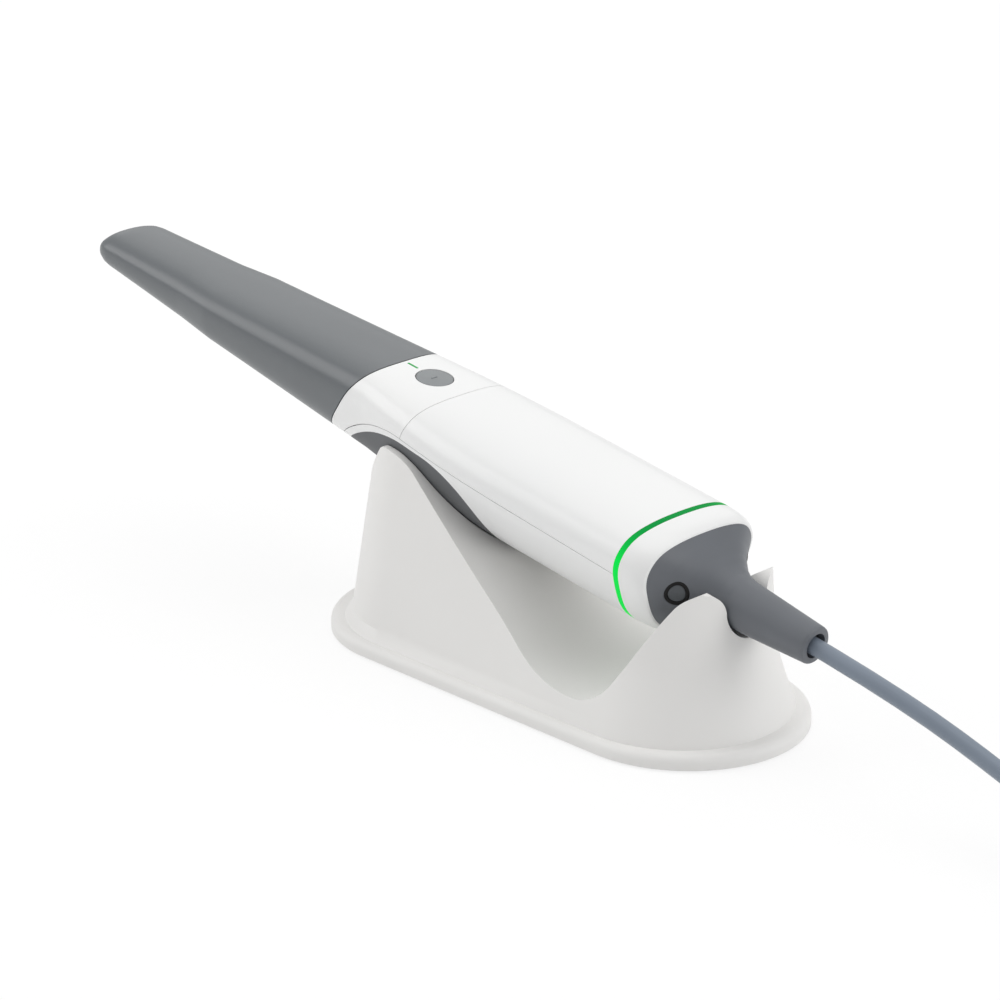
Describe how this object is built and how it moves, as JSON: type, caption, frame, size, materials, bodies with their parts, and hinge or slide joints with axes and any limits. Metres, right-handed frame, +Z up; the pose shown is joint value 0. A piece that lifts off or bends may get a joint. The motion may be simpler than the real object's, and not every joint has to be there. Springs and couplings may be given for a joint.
{
  "type": "intraoral scanner in a desk cradle",
  "caption": "White handheld intraoral scanner with a grey slip-on tip, resting nose-up in a two-pillar desk cradle, with its data cable",
  "frame": {"origin": "centre of the cradle's foot on the table", "axes": "+Z up, -X the way the scanner's nose points, +X towards its cable, -Y the side seen in the picture"},
  "size_m": [0.4502, 0.1061, 0.0889],
  "materials": {
    "tip_plastic": "fine spark-eroded satin",
    "mirror_glass": "front-silvered glass",
    "barrel_plastic": "matt black",
    "window_glass": "polished and coated",
    "white_shell": "polished moulding",
    "mark_paint": "smooth",
    "pad_rubber": "satin",
    "button_plastic": "semi-gloss",
    "switch_plastic": "plain",
    "circuit_board": "solder mask",
    "diffuser": "clear diffusing",
    "boot_rubber": "satin",
    "plug_rubber": "smooth",
    "plug_plastic": "satin",
    "screw_steel": "turned",
    "chassis_alloy": "as machined",
    "cradle_plastic": "fine textured",
    "base_plastic": "textured",
    "weight_steel": "sawn",
    "foot_rubber": "matt",
    "cable_jacket": "extruded satin",
    "tie_strap": "woven",
    "plug_moulding": "satin",
    "plug_metal": "nickel plated"
  },
  "bodies": {
    "root": {"nose_barrel": "barrel_plastic", "front_window": "window_glass", "nose_cover": "white_shell", "alignment_mark": "mark_paint", "top_shell": "white_shell", "bottom_shell": "white_shell", "finger_pad": "pad_rubber", "button_switch": "switch_plastic", "button_board": "circuit_board", "light_ring": "diffuser", "ring_board": "circuit_board", "rear_collar": "white_shell", "tail_cap": "boot_rubber", "plug_rings": "plug_rubber", "plug_discs": "plug_plastic", "cap_screws": "screw_steel", "cable_clamp": "screw_steel", "chassis": "chassis_alloy", "chassis_screws": "screw_steel", "main_board": "circuit_board", "heat_sink": "chassis_alloy", "optics_block": "barrel_plastic", "projector_lens": "window_glass", "camera_lenses": "window_glass", "sensor_board": "circuit_board", "cradle": "cradle_plastic", "base_plate": "base_plastic", "base_screws": "screw_steel", "base_weight": "weight_steel", "foot_mat": "foot_rubber", "cable": "cable_jacket", "cable_coil": "cable_jacket", "cable_tie": "tie_strap", "plug_body": "plug_moulding", "plug_shell": "plug_metal"},
    "tip": {"scan_tip": "tip_plastic", "tip_mirror": "mirror_glass"},
    "button": {"scan_button": "button_plastic"}
  },
  "joints": [
    {"name": "tip_pull", "type": "slide", "parent": "root", "child": "tip", "axis": [-0.9877, 0, 0.1564], "range_m": [0, 0.066]},
    {"name": "button_press", "type": "slide", "parent": "root", "child": "button", "axis": [-0.1564, 0, -0.9877], "range_m": [0, 0.0005], "stiffness_N_per_m": 900}
  ]
}
